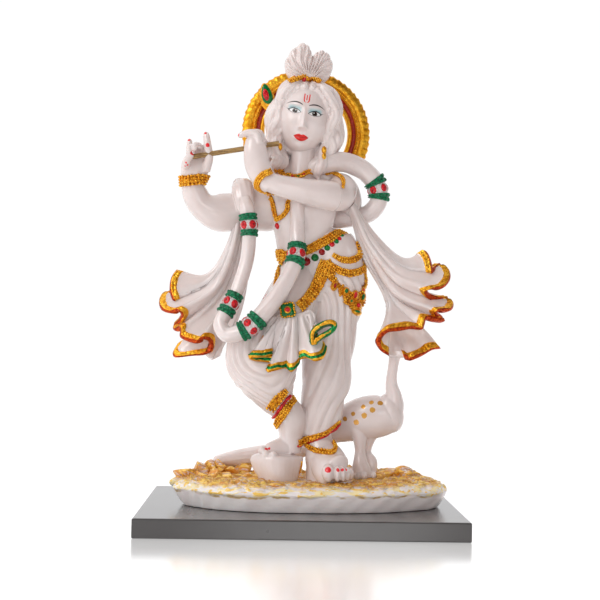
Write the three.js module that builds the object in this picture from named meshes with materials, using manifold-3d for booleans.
// A cast-resin figurine of a flute player and a peacock on its display board, in millimetres, +Z up.
// The origin is the centre of the board's underside; the figure faces -Y.
import * as THREE from "three";
import { mergeVertices } from "three/addons/utils/BufferGeometryUtils.js";
import Module from "manifold-3d";

// Driving sizes.
const BOARD_WIDTH = 195;
const BOARD_DEPTH = 120;
const BOARD_THICKNESS = 11.5;
const BOARD_EDGE_BEVEL = 0.8;
const FIGURE_HEIGHT = 292;
const FLUTE_DIAMETER = 3.2;
const FLUTE_CLEARANCE = 0.3;
const SEAT_CLEARANCE = 0.3;

// The figure is laid out on a sculptor's grid of 460 units to its height, from the underside of
// its rock base (z = 0) to the tip of the plume, with x to the viewer's right and y away from
// the viewer. Every table of stations below is in these units.
const GRID_HEIGHT = 460;
const UNIT = FIGURE_HEIGHT / GRID_HEIGHT;
const GROUND = 25;
// The casting leans a degree to the viewer's left as it rises.
const LEAN = 0.019;

const WHITE = new THREE.MeshStandardMaterial({ color: 0xe6dcd8, roughness: 0.35, metalness: 0 });
const WOOD = new THREE.MeshStandardMaterial({ color: 0x8a6636, roughness: 0.45, metalness: 0 });
const GREY = new THREE.MeshStandardMaterial({ color: 0x5c5a5a, roughness: 0.6, metalness: 0 });

const wasm = await Module();
wasm.setup();

// A closed three.js geometry as a solid that can be joined and cut.
function toSolid(geometry) {
  const bare = geometry.clone();
  bare.deleteAttribute("normal");
  bare.deleteAttribute("uv");
  const merged = mergeVertices(bare, 1e-4);
  return new wasm.Manifold(
    new wasm.Mesh({
      numProp: 3,
      vertProperties: new Float32Array(merged.attributes.position.array),
      triVerts: new Uint32Array(merged.index.array),
    }),
  );
}

function toGeometry(joined) {
  const mesh = joined.getMesh();
  return new THREE.BufferGeometry()
    .setAttribute("position", new THREE.BufferAttribute(mesh.vertProperties, 3))
    .setIndex(new THREE.BufferAttribute(mesh.triVerts, 1));
}

// Moves each point of a unit geometry to where place(x, y, z) says, in grid units.
function bend(geometry, place) {
  const points = geometry.attributes.position;
  for (let i = 0; i < points.count; i++) {
    const p = place(points.getX(i), points.getY(i), points.getZ(i));
    p.x -= LEAN * p.z;
    p.multiplyScalar(UNIT);
    points.setXYZ(i, p.x, p.y, p.z);
  }
  const made = toSolid(geometry);
  if (made.volume() > 0) return made;
  const turned = geometry.index.array;
  for (let i = 0; i < turned.length; i += 3) {
    [turned[i + 1], turned[i + 2]] = [turned[i + 2], turned[i + 1]];
  }
  return toSolid(geometry);
}

const join = (pieces) => pieces.reduce((whole, piece) => whole.add(piece));

function curve(points) {
  return new THREE.CatmullRomCurve3(
    points.map(([x, y, z = 0]) => new THREE.Vector3(x, y, z)),
    false,
    "catmullrom",
    0.5,
  );
}

// A limb, lock or tube. Each station is [x, y, z, half width, half depth]; a fold function may
// swell the section at share t of the way and angle a round it.
function limb(stations, sides = 8, rings = 6, fold = () => 1) {
  const route = curve(stations);
  const girth = curve(stations.map(([, , , wide, deep = wide]) => [wide, deep]));
  const away = new THREE.Vector3(0, 1, 0);
  return bend(new THREE.CylinderGeometry(1, 1, 1, sides, rings), (x, y, z) => {
    const t = Math.min(Math.max(0.5 - y, 0), 1);
    const along = route.getTangent(t);
    const deep = away.clone().addScaledVector(along, -away.dot(along)).normalize();
    const wide = new THREE.Vector3().crossVectors(deep, along);
    const size = girth.getPoint(t);
    const swell = fold(t, Math.atan2(z, x));
    return route
      .getPoint(t)
      .addScaledVector(wide, x * size.x * swell)
      .addScaledVector(deep, z * size.y * swell);
  });
}

// An egg: centre, half sizes, and a lean to the viewer's right in degrees.
function egg([x, y, z], [wide, deep, tall], lean = 0, sides = 12, rings = 8) {
  const turn = THREE.MathUtils.degToRad(lean);
  return bend(new THREE.SphereGeometry(1, sides, rings), (px, py, pz) =>
    new THREE.Vector3(px * wide, pz * deep, py * tall)
      .applyAxisAngle(new THREE.Vector3(0, 1, 0), turn)
      .add(new THREE.Vector3(x, y, z)),
  );
}

// A sheet of cloth of some thickness hung through rails, each a list of points from one side
// edge to the other; the first rail is the gather and the last the hem.
function cloth(rails, thickness, across, down) {
  const lines = rails.map(curve);
  const at = (s, t) => curve(lines.map((line) => line.getPoint(s).toArray())).getPoint(t);
  const step = 0.01;
  return bend(new THREE.BoxGeometry(1, 1, 1, across, down, 1), (x, y, z) => {
    const s = x + 0.5;
    const t = 0.5 - y;
    const s0 = Math.max(s - step, 0);
    const s1 = Math.min(s + step, 1);
    const t0 = Math.max(t - step, 0);
    const t1 = Math.min(t + step, 1);
    const over = at(s1, t).sub(at(s0, t));
    const along = at(s, t1).sub(at(s, t0));
    const out = over.cross(along).normalize();
    return at(s, t).addScaledVector(out, z * thickness);
  });
}

// The rock base: a turned mound, drawn out to an oval with a wandering rim and stony top.
function rockBase() {
  const profile = [
    [0, 0], [0.92, 0], [0.95, 5], [0.985, 11], [1, 17], [0.95, 22],
    [0.84, GROUND], [0.58, GROUND + 1], [0.34, GROUND], [0, GROUND],
  ];
  const peaks = [
    [-107, 6, 9, 12], [-88, 16, 8, 10], [114, 12, 7, 15], [52, 30, 7, 16], [100, 34, 6, 14],
  ];
  const turned = new THREE.LatheGeometry(profile.map(([r, z]) => new THREE.Vector2(r, z)), 26);
  return bend(turned, (x, y, z) => {
    const angle = Math.atan2(z, x);
    const rim = 1 + 0.025 * Math.sin(3 * angle + 1) + 0.008 * Math.sin(7 * angle);
    const px = 8 + 134 * x * rim;
    const py = -10 - 55 * z * rim;
    let pz = y;
    if (y >= 13) {
      for (const [cx, cy, rise, spread] of peaks) {
        pz += rise * Math.exp(-((px - cx) ** 2 + (py - cy) ** 2) / spread ** 2);
      }
      pz += 1.4 * Math.sin(px * 0.31 + py * 0.2) * Math.cos(py * 0.37);
    }
    return new THREE.Vector3(px, py, pz);
  });
}

function torso() {
  return join([
    limb(
      [
        [4, 0, 343, 11, 10], [4, 0, 331, 13, 12], [3, 1, 321, 26, 14], [2, -1, 311, 37, 18],
        [2, -3, 298, 38, 20], [3, -4, 284, 33, 19], [4, -4, 268, 29, 17], [7, -3, 253, 30, 18],
        [15, -1, 238, 36, 22], [21, 1, 220, 40, 25], [24, 1, 200, 38, 24],
      ],
      10,
      9,
    ),
    // neck
    limb([[2, -3, 322, 14.5], [3, -3, 340, 12.5], [4, -1, 362, 13]], 8, 2),
  ]);
}

// His right arm, on the viewer's left, bent up to the flute.
function rightArm() {
  return limb(
    [
      [-14, 2, 302, 20, 16], [-34, 0, 294, 24, 16], [-56, -5, 289, 20, 15], [-78, -11, 289, 17, 14],
      [-96, -16, 292, 14, 13], [-104, -18, 304, 12.5, 12], [-107, -20, 318, 10, 9],
    ],
    9,
    8,
  );
}

// His left arm, on the viewer's right, brought across the chest to the flute.
function leftArm() {
  return join([
    limb([[38, 4, 318, 14], [42, -6, 314, 15], [38, -18, 306, 16], [30, -28, 303, 14]], 8, 3),
    limb(
      [[37, -24, 303, 15], [24, -30, 304, 14.5], [5, -36, 306, 12.5], [-18, -40, 310, 10.5], [-38, -40, 316, 9]],
      9,
      5,
    ),
  ]);
}

function finger(route, thick, rings = 2) {
  return limb(route.map((p, i) => [...p, i === route.length - 1 ? thick * 0.55 : thick]), 5, rings);
}

// The palm and fingers of each hand; the flute lies across them.
function rightHand() {
  return join([
    limb([[-107, -20, 314, 10, 9], [-104, -21, 325, 14.5, 8], [-102, -21, 336, 14, 7], [-100, -20, 343, 9, 5]], 8, 3),
    finger([[-93, -24, 324], [-89, -31, 337], [-91, -29, 351], [-93, -27, 362]], 4.4),
    finger([[-108, -20, 336], [-110, -20, 348], [-110, -20, 356]], 3.4),
    finger([[-112, -22, 328], [-110, -31, 335], [-104, -34, 342]], 3.8),
    finger([[-97, -17, 338], [-99, -26, 349], [-104, -33, 346]], 3.8),
  ]);
}

function leftHand() {
  return join([
    limb(
      [
        [-28, -40, 311, 10, 9], [-36, -40, 318, 12, 9], [-42, -40, 330, 12.5, 8], [-44, -40, 344, 12, 7],
        [-46, -39, 356, 10, 5.5], [-46, -37, 363, 7, 4],
      ],
      8,
      6,
    ),
    finger([[-42, -37, 359], [-52, -37, 360], [-61, -36, 359]], 3.4),
    finger([[-34, -38, 340], [-31, -30, 348], [-37, -25, 355]], 3.8),
  ]);
}

// Head, leaning to the viewer's left, with a plain face, and its locks of hair.
const HEAD = [4, -6, 384];
const HEAD_LEAN = 9;

function onHead(x, y, z) {
  return new THREE.Vector3(x, y, z)
    .applyAxisAngle(new THREE.Vector3(0, 1, 0), THREE.MathUtils.degToRad(HEAD_LEAN))
    .add(new THREE.Vector3(...HEAD));
}

function skull() {
  const swell = (value, centre, spread) => Math.exp(-(((value - centre) / spread) ** 2));
  return bend(new THREE.SphereGeometry(1, 14, 10), (x, y, z) => {
    const jaw = y < 0 ? 1 - 0.28 * y * y : 1;
    const front = Math.max(z, 0);
    const nose = 5.5 * swell(x, 0, 0.18) * swell(y, -0.2, 0.22);
    const sockets = 3 * swell(Math.abs(x), 0.36, 0.22) * swell(y, 0.02, 0.14);
    const chin = 1.8 * swell(x, 0, 0.3) * swell(y, -0.84, 0.16);
    const depth = z * 26 * (y < 0 ? 1 - 0.16 * y * y : 1) + front * (nose - sockets + chin);
    return onHead(x * 27 * jaw, -depth, y * 36.5);
  });
}

// The wavy locks that fall from the parting past one cheek.
function locks(side) {
  const route = [
    [8, -4, 35, 4, 6], [22, -6, 26, 6, 10], [29, -3, 4, 7, 12], [28, 1, -16, 7, 12], [29, 4, -34, 6.5, 11],
    [23, 8, -52, 4, 6],
  ];
  const stations = route.map(([x, y, z, wide, deep]) => [...onHead(side * x, y, z).toArray(), wide, deep]);
  return limb(stations, 6, 8, (t) => 1 + 0.12 * Math.sin(t * 26));
}

function head() {
  const back = [
    [8, 33, 8, 6], [14, 25, 20, 12], [19, 8, 27, 14], [20, -14, 29, 14], [20, -38, 28, 12], [19, -62, 24, 9],
    [20, -88, 14, 6], [20, -96, 5, 3],
  ];
  const nape = limb(
    back.map(([y, z, wide, deep]) => [...onHead(0, y, z).toArray(), wide, deep]),
    8,
    5,
  );
  return join([skull(), nape, locks(-1), locks(1)]);
}

// The feather plume: a fan of two lobes with ribs, standing on the brow band.
function plume() {
  const reach = curve([
    [-84, 15], [-56, 28], [-34, 35], [-11, 41], [1, 37], [11, 29], [23, 36], [35, 37], [53, 31], [84, 16],
  ]);
  const ribs = 8;
  return bend(new THREE.BoxGeometry(1, 1, 1, 2 * ribs, 2, 1), (x, y, z) => {
    const [angle, length] = reach.getPoint(x + 0.5).toArray();
    const t = y + 0.5;
    const turn = THREE.MathUtils.degToRad(angle);
    const rib = 1 + 0.25 * Math.cos(2 * Math.PI * ribs * (x + 0.5)) * t;
    const from = 5 + (length - 5) * t;
    return new THREE.Vector3(
      8 + from * Math.sin(turn),
      -8 + 10 * t * t - 6 * t - z * (8 - 4 * t) * rib,
      420 + from * Math.cos(turn),
    );
  });
}

// The halo: a ring with a bead line, a sunken channel and an inner lip.
const HALO = { x: 7, y: 17, z: 374, outer: 65.5, inner: 43, thick: 7, from: -36, to: 224 };

function halo() {
  const across = [0, 0.18, 0.5, 1];
  const rises = [3, 0.5, 4, 2.5];
  return bend(new THREE.BoxGeometry(1, 1, 1, 31, 3, 1), (x, y, z) => {
    const turn = THREE.MathUtils.degToRad(HALO.from + (HALO.to - HALO.from) * (x + 0.5));
    const line = Math.round(3 * (y + 0.5));
    const radius = HALO.inner + (HALO.outer - HALO.inner) * across[line];
    return new THREE.Vector3(
      HALO.x + radius * Math.cos(turn),
      HALO.y + (z > 0 ? -rises[line] : HALO.thick - rises[line] * 0.5),
      HALO.z + radius * Math.sin(turn),
    );
  });
}

// The leaf-shaped feather eye at the side of the head.
function featherEye() {
  return join([
    egg([-33, 4, 407], [7.5, 4, 15], -14, 7, 5),
    limb([[-30, 6, 398, 4], [-24, 4, 388, 3]], 5, 1),
  ]);
}

// The pleated skirts of the straight leg and the crossed leg.
function standingLeg() {
  const pleats = (t, a) => 1 + 0.05 * Math.sin(7 * a + 9 * t) * Math.min(1, 3 * t);
  return limb(
    [
      [28, 2, 232, 36, 24], [34, 2, 215, 32, 26], [34, -1, 197, 29, 26], [30, -4, 172, 27, 25],
      [27, -5, 144, 26, 24], [26, -6, 116, 25, 22], [22, -7, 90, 22, 19], [21, -7, 68, 21, 16],
    ],
    13,
    8,
    pleats,
  );
}

function crossedLeg() {
  return join([
    limb(
      [
        [4, 0, 236, 24, 20], [0, -4, 220, 27, 23], [-12, -12, 196, 30, 26], [-33, -17, 168, 36, 27],
        [-38, -20, 146, 36, 26], [-31, -22, 122, 27, 22], [-24, -21, 106, 18, 17], [-18, -19, 93, 13, 13],
      ],
      12,
      9,
    ),
    // shin
    limb([[-20, -20, 98, 12], [-12, -17, 84, 13], [-9, -16, 66, 11.5], [-10, -15, 52, 11]], 7, 3),
  ]);
}

function feet() {
  return join([
    // the crossed foot on its low block
    limb([[-8, -13, 60, 11, 11], [-16, -18, 56, 10, 9.5], [-26, -23, 53.5, 9, 7], [-36, -28, 52, 6.5, 5]], 7, 3),
    limb([[-23, -24, 49.5, 19, 11], [-23, -24, 46, 24.5, 15], [-22, -24, 40, 23.5, 15], [-21, -24, 20, 18, 15]], 9, 3),
    // the standing foot
    limb([[18, -6, 76, 13, 12], [19, -8, 62, 14, 14], [22, -12, 48, 17, 17], [25, -16, 22, 19, 18]], 8, 3),
    limb([[24, -8, 48, 16, 14], [27, -24, 41, 19, 13], [30, -38, 37, 18, 11], [31, -46, 35, 16, 9]], 8, 3),
    egg([25.5, -51, 36], [6.2, 8, 8], 0, 7, 5),
    egg([34.5, -49, 35], [3.6, 7, 7.5], 0, 6, 4),
    egg([40, -46.5, 34.5], [3.3, 6.5, 7], 0, 6, 4),
    egg([45, -42.5, 34], [3.3, 6.5, 6.6], 0, 6, 4),
  ]);
}

function apron() {
  const gather = [[-24, -37, 192], [-16, -39, 188], [-8, -40, 186], [2, -38, 188], [12, -34, 196]];
  const middle = [[-46, -49, 172], [-32, -48, 164], [-14, -46, 160], [4, -44, 164], [19, -38, 180]];
  const hem = [
    [-53, -52, 160], [-38, -54, 150], [-34, -49, 138], [-24, -55, 132], [-12, -50, 138], [0, -54, 135],
    [12, -48, 145], [24, -48, 146], [24, -42, 158], [16, -40, 165], [31, -38, 177],
  ];
  return cloth([gather, middle, hem], 5, 20, 2);
}

// The shawl that falls from his right arm and flares to the viewer's left.
function leftFall() {
  const gather = [[-70, -10, 294], [-64, -13, 296], [-56, -12, 296], [-48, -8, 294]];
  const upper = [[-68, -12, 268], [-62, -17, 266], [-56, -10, 265], [-48, -12, 264]];
  const middle = [[-90, -8, 226], [-82, -14, 214], [-72, -4, 202], [-60, -12, 196]];
  const hem = [
    [-124, -6, 230], [-127, -10, 204], [-138, -18, 202], [-136, -22, 188], [-121, -12, 188],
    [-119, -4, 178], [-125, -14, 168], [-116, -20, 162], [-100, -12, 160], [-96, -20, 152],
    [-118, -24, 146], [-104, -18, 140], [-84, -10, 142],
  ];
  return join([
    cloth([gather, upper, middle, hem], 5, 18, 4),
    limb(
      [[-58, 8, 298, 10, 7], [-60, 2, 308, 10, 8], [-60, -8, 315, 11, 6], [-59, -19, 311, 11, 7], [-57, -21, 296, 9, 6]],
      7,
      4,
    ),
  ]);
}

// The shawl that falls from his left elbow and flares to the viewer's right, down to the bird.
function rightFall() {
  const gather = [[52, -6, 300], [46, -12, 296], [40, -10, 290], [36, -4, 286]];
  const upper = [[78, -4, 266], [68, -14, 258], [62, -4, 250], [54, -6, 244]];
  const middle = [[104, -4, 245], [96, -14, 228], [86, -2, 208], [74, -8, 208]];
  const hem = [
    [121, -4, 256], [134, -10, 234], [144, -18, 240], [150, -20, 226], [138, -12, 214], [128, -4, 211],
    [148, -12, 206], [150, -12, 196], [134, -4, 192], [142, -12, 184], [124, -6, 176], [104, -14, 174],
    [84, -10, 172], [77, -16, 161], [92, -18, 149],
  ];
  const flounce = [[84, -4, 186], [98, 2, 184], [116, 0, 180]];
  const flounceMiddle = [[82, -8, 166], [102, 2, 164], [124, -3, 168]];
  const flounceHem = [[88, -16, 146], [104, -6, 146], [120, -10, 152], [141, -8, 158]];
  return join([
    cloth([gather, upper, middle, hem], 5, 21, 4),
    cloth([flounce, flounceMiddle, flounceHem], 5, 9, 2),
    // the cloth over the shoulder
    limb([[34, 14, 322, 12, 8], [46, 10, 318, 12, 9], [52, 6, 304, 11, 10], [50, 2, 290, 9, 9], [42, -2, 284, 7, 8]], 7, 4),
  ]);
}

// The rolled stole: a loop from the neck over his left shoulder and back to the waist.
function stole() {
  return limb(
    [
      [2, 2, 329, 6, 5], [16, -12, 334, 8, 7], [40, -8, 341, 10, 8], [62, 0, 336, 10, 9], [77, 3, 322, 9.5, 9],
      [80, 4, 304, 9, 9], [70, 6, 291, 9, 9], [52, 8, 284, 10, 9], [32, 12, 282, 11, 8], [10, 16, 284, 11, 6],
    ],
    7,
    11,
  );
}

// The long garland: down the chest, round in a loop below the waist and up to his right arm.
function garland() {
  return limb(
    [
      [-3, -22, 314, 8], [-3, -23, 296, 8], [-3, -24, 276, 8], [-3, -29, 256, 8.5], [-6, -36, 236, 8.5],
      [-18, -46, 214, 8.5], [-33, -52, 196, 8.5], [-50, -55, 178, 9], [-67, -54, 171, 9], [-75, -49, 180, 9],
      [-67, -42, 196, 8.5], [-60, -36, 212, 8.5], [-53, -31, 236, 8], [-50, -28, 262, 8.5], [-52, -28, 288, 9],
      [-55, -24, 304, 8],
    ],
    7,
    23,
  );
}

// A gilded band: centre, half sizes of its ring, its thickness, and its tip about x and about y.
function band([cx, cy, cz], [wide, deep], thick, tip, roll) {
  const turn = new THREE.Euler(THREE.MathUtils.degToRad(tip), THREE.MathUtils.degToRad(roll), 0);
  return bend(new THREE.TorusGeometry(1, 0.1, 4, 9), (x, y, z) => {
    const outward = Math.hypot(x, y);
    const swell = ((outward - 1) / 0.1) * thick;
    return new THREE.Vector3((x / outward) * (wide + swell), (y / outward) * (deep + swell), (z / 0.1) * thick)
      .applyEuler(turn)
      .add(new THREE.Vector3(cx, cy, cz));
  });
}

// Gilded ornaments that stand out from a step away.
function ornaments() {
  return join([
    // bracelets and the ankle band of the crossed leg
    band([-107, -20, 316], [12, 11], 3.4, 8, -8),
    band([-29, -40, 314], [12, 12], 3.2, -10, 52),
    band([-19, -19, 97], [14, 14], 4.5, 22, 38),
    // the belt round the hips, high on the viewer's right
    limb(
      [[-24, -12, 247, 5, 7], [-10, -22, 244, 5, 7], [8, -25, 250, 5, 8], [24, -23, 260, 5, 8], [38, -12, 272, 5, 7]],
      4,
      5,
    ),
    // the gilded hem of the wrap, curving down to its clasp
    limb([[23, -29, 246, 7, 3], [21, -33, 230, 7, 3], [14, -37, 214, 7, 3], [4, -40, 201, 6.5, 3], [-6, -41, 194, 5, 3]], 4, 4),
    egg([-13, -42, 193], [8, 4, 8], 45, 5, 3),
    // the tassel of the hip chains
    egg([55, -19, 201], [8, 5, 12], 0, 5, 4),
  ]);
}

// The long-necked bird beside him, its tail lying behind his feet.
function bird() {
  return join([
    limb(
      [[22, 27, 56, 5, 5], [34, 23, 67, 12, 10], [50, 16, 77, 19, 15], [68, 8, 84, 22, 18], [86, 3, 88, 20, 16], [98, 0, 94, 12, 11]],
      8,
      6,
    ),
    limb(
      [[90, 1, 80, 6, 6], [95, 0, 94, 10, 9], [94.5, -1, 106, 8.5, 7.5], [92, -2, 120, 6, 5.5], [94, -3, 136, 5, 5], [98, -4, 152, 5.5, 5.5]],
      6,
      6,
    ),
    egg([100, -6, 156], [7, 7, 9], 20, 7, 5),
    // tail
    limb(
      [[34, 24, 64, 7, 6], [4, 29, 52, 11, 8], [-22, 28, 44, 11.5, 9], [-44, 25, 42, 10, 9], [-64, 21, 40, 8.3, 8], [-85, 16, 37.5, 4, 5]],
      7,
      5,
    ),
    // legs and feet
    limb([[61, 3, 72, 10, 8], [60.5, 1, 54, 5.5, 6], [61, -1, 41, 7.8, 8], [61.5, -2, 22, 11, 9]], 6, 3),
    limb([[72, 8, 70, 9, 7], [69, 7, 52, 4.4, 5], [72.5, 5, 40, 6, 6], [70, 3, 22, 6, 7]], 6, 3),
  ]);
}

// The flute, from the far hand in to the cheek.
const FLUTE_ENDS = [[-107, -31, 338], [-21, -31, 353.5]];

function fluteRod(radius, overrun = 0) {
  const [from, to] = FLUTE_ENDS.map(([x, y, z]) => new THREE.Vector3(x - LEAN * z, y, z).multiplyScalar(UNIT));
  const along = to.clone().sub(from);
  const turn = new THREE.Quaternion().setFromUnitVectors(new THREE.Vector3(0, 1, 0), along.clone().normalize());
  const middle = from.add(to).multiplyScalar(0.5);
  return new THREE.CylinderGeometry(radius, radius, along.length() + 2 * overrun, 14)
    .applyQuaternion(turn)
    .translate(middle.x, middle.y, middle.z);
}

function figure() {
  const whole = join([
    rockBase(), torso(), rightArm(), leftArm(), rightHand(), leftHand(), head(), plume(), halo(), featherEye(),
    standingLeg(), crossedLeg(), feet(), apron(), leftFall(), rightFall(), stole(), garland(), ornaments(), bird(),
  ]);
  const bore = toSolid(fluteRod(FLUTE_DIAMETER / 2 + FLUTE_CLEARANCE, FLUTE_CLEARANCE));
  return toGeometry(whole.subtract(bore));
}

function board() {
  const w = BOARD_WIDTH / 2;
  const d = BOARD_DEPTH / 2;
  const edge = BOARD_EDGE_BEVEL;
  const outline = new THREE.Shape([
    new THREE.Vector2(-w + edge, -d + edge), new THREE.Vector2(w - edge, -d + edge),
    new THREE.Vector2(w - edge, d - edge), new THREE.Vector2(-w + edge, d - edge),
  ]);
  return new THREE.ExtrudeGeometry(outline, {
    depth: BOARD_THICKNESS - 2 * edge,
    bevelEnabled: true,
    bevelThickness: edge,
    bevelSize: edge,
    bevelSegments: 2,
  }).translate(0, 0, edge);
}

const model = new THREE.Group();

const boardMesh = new THREE.Mesh(board(), GREY);
boardMesh.name = "display_board";
model.add(boardMesh);

const statue = new THREE.Group();
statue.position.z = BOARD_THICKNESS + SEAT_CLEARANCE;
model.add(statue);

const figureMesh = new THREE.Mesh(figure(), WHITE);
figureMesh.name = "krishna_figure";
statue.add(figureMesh);

const fluteMesh = new THREE.Mesh(fluteRod(FLUTE_DIAMETER / 2), WOOD);
fluteMesh.name = "flute";
statue.add(fluteMesh);

export default model;
